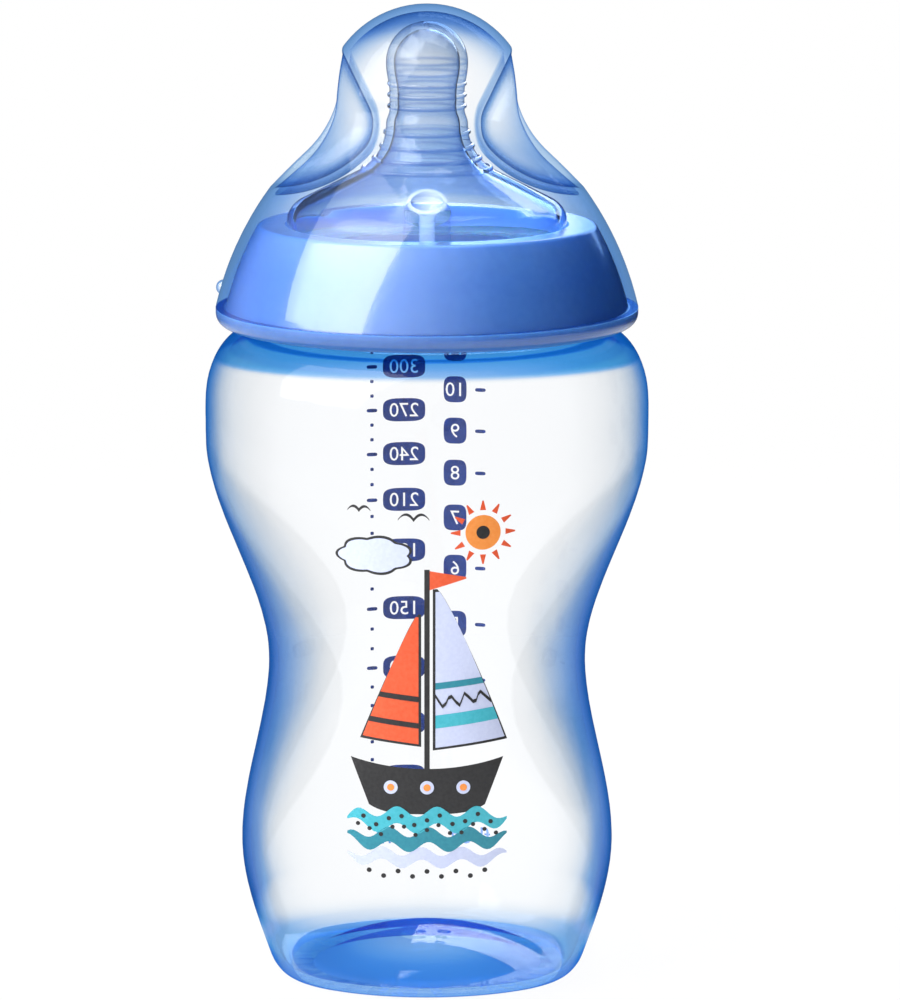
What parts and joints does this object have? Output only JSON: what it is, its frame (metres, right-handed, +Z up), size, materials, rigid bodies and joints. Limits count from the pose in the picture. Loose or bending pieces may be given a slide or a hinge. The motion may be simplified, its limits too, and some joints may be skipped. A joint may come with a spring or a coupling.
{
  "type": "baby bottle",
  "caption": "Waisted, blue-tinted clear feeding bottle with a screw collar, a vented silicone teat and a push-on hood over the nipple.",
  "frame": {"origin": "centre of the standing ring, on the surface that the bottle stands on", "axes": "+Z up along the bottle's axis, -Y towards the printed front, the finger grips lie on +X and -X"},
  "size_m": [0.075, 0.075, 0.1647],
  "materials": {
    "bottle_plastic": "clear blue-tinted bottle plastic, glossy",
    "teat_silicone": "translucent whitish silicone, satin",
    "collar_plastic": "milky blue plastic, glossy",
    "hood_plastic": "clear blue-tinted plastic, glossy"
  },
  "bodies": {
    "bottle": {"bottle_body": "bottle_plastic"},
    "teat": {"teat": "teat_silicone"},
    "collar": {"screw_collar": "collar_plastic"},
    "hood": {"hood": "hood_plastic"}
  },
  "joints": [
    {"name": "teat_rise", "type": "slide", "parent": "bottle", "child": "teat", "axis": [0, 0, 1], "range_m": [0, 0.00563]},
    {"name": "collar_turn", "type": "hinge", "parent": "teat", "child": "collar", "pos_m": [0, 0, 0.1185], "axis": [0, 0, 1], "range_deg": [0, 450]},
    {"name": "hood_lift", "type": "slide", "parent": "collar", "child": "hood", "axis": [0, 0, 1], "range_m": [0, 0.055]}
  ],
  "couplings": [
    {"joint": "teat_rise", "follows": "collar_turn", "m_per_rad": 0.0007162}
  ]
}
